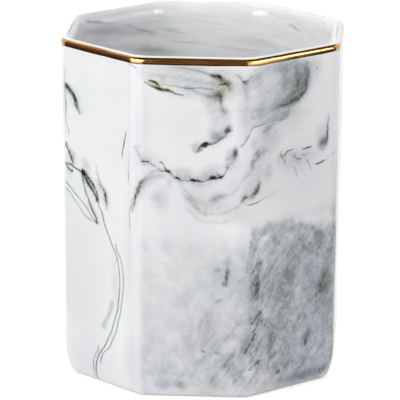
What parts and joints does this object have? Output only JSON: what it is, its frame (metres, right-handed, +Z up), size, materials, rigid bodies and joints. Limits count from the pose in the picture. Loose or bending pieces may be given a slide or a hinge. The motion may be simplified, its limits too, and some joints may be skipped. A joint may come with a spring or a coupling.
{
  "type": "pen holder",
  "caption": "Open eight-sided ceramic pen cup with soft vertical corners, a rounded foot edge, grey marbled white glaze and a narrow gilt band round the lip.",
  "frame": {"origin": "middle of the underside, on the surface that the cup stands on", "axes": "+Z up along the cup's axis; one flat face looks towards -Y, another towards +X"},
  "size_m": [0.08, 0.08, 0.1],
  "materials": {
    "marbled_glaze": "white glaze with fine dark veins and soft blue-grey clouds, glossy",
    "bisque_foot": "bare fired clay, matt, on the ring that the cup stands on",
    "gilding": "hand-laid gold lustre, polished, slightly uneven"
  },
  "bodies": {
    "root": {"cup_body": "marbled_glaze", "gilt_rim": "gilding"}
  },
  "joints": []
}
